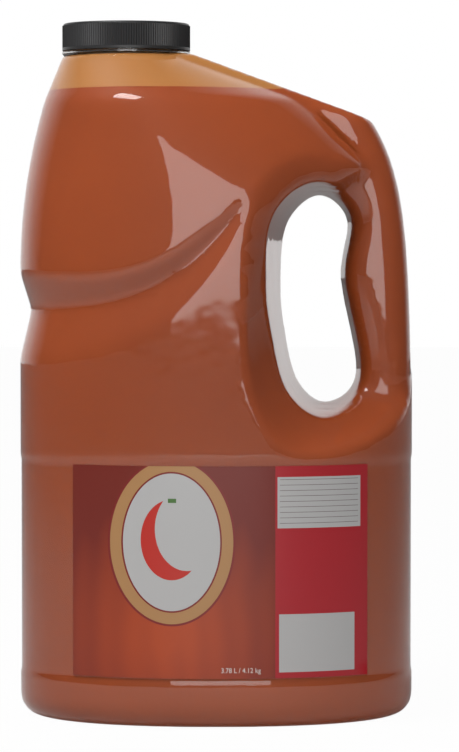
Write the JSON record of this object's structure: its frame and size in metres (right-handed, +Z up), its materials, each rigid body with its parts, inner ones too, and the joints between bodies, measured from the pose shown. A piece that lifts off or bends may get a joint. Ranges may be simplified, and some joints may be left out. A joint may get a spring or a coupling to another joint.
{
  "type": "hot sauce bottle",
  "caption": "Large clear plastic jug of red-brown hot sauce with a through handle, a sloping shoulder, a ribbed black screw cap and a printed front label.",
  "frame": {"origin": "centre of the base, on the surface the jug stands on", "axes": "+Z up to the cap, +X towards the handle, the label faces -Y"},
  "size_m": [0.1706, 0.1248, 0.3],
  "materials": {
    "clear_plastic": "clear glossy blown plastic",
    "sauce": "opaque red-brown sauce",
    "cap_plastic": "black satin moulded plastic",
    "label_film": "glossy printed film"
  },
  "bodies": {
    "root": {"bottle": "clear_plastic", "sauce": "sauce", "cap": "cap_plastic", "label": "label_film"}
  },
  "joints": []
}
